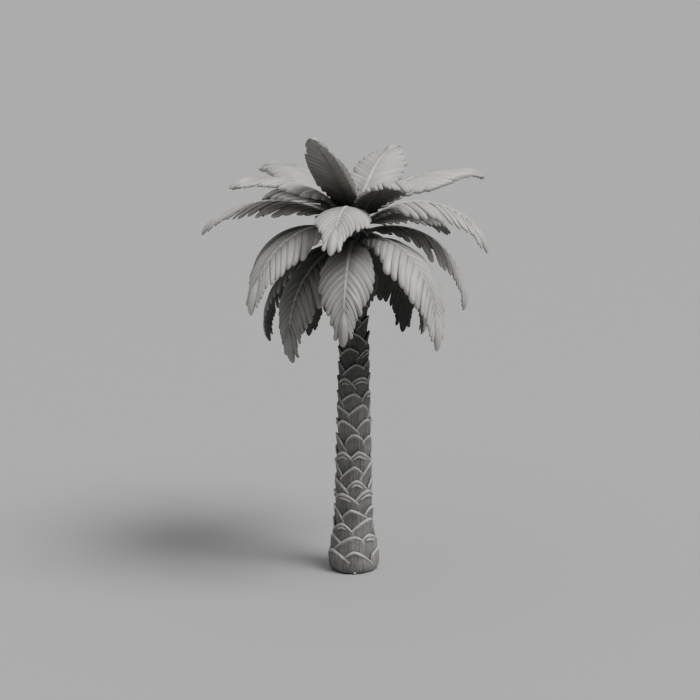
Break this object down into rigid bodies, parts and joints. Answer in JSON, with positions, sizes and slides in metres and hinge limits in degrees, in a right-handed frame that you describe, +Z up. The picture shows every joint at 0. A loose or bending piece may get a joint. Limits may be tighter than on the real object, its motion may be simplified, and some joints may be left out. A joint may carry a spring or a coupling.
{
  "type": "palm tree",
  "caption": "Whole palm tree with a stout tapering trunk clad in old leaf bases and a full crown of arching, drooping fronds, flat cut at ground level.",
  "frame": {"origin": "centre of the flat cut under the trunk, at ground level", "axes": "+Z up the trunk, -Y towards the side that the picture shows, +X to the right in the picture"},
  "size_m": [5.0327, 4.9275, 8.0717],
  "materials": {
    "bark": "matt old leaf bases with paler raised rims and fibre grooves",
    "frond": "matt to satin leaflets with a paler midrib"
  },
  "bodies": {
    "root": {"trunk": "bark", "upper_frond_1": "frond", "upper_frond_2": "frond", "upper_frond_3": "frond", "upper_frond_4": "frond", "upper_frond_5": "frond", "middle_frond_1": "frond", "middle_frond_2": "frond", "middle_frond_3": "frond", "middle_frond_4": "frond", "middle_frond_5": "frond", "middle_frond_6": "frond", "middle_frond_7": "frond", "middle_frond_8": "frond", "middle_frond_9": "frond", "middle_frond_10": "frond", "middle_frond_11": "frond", "lower_frond_1": "frond", "lower_frond_2": "frond", "lower_frond_3": "frond", "lower_frond_4": "frond", "lower_frond_5": "frond", "lower_frond_6": "frond", "lower_frond_7": "frond", "lower_frond_8": "frond"}
  },
  "joints": []
}
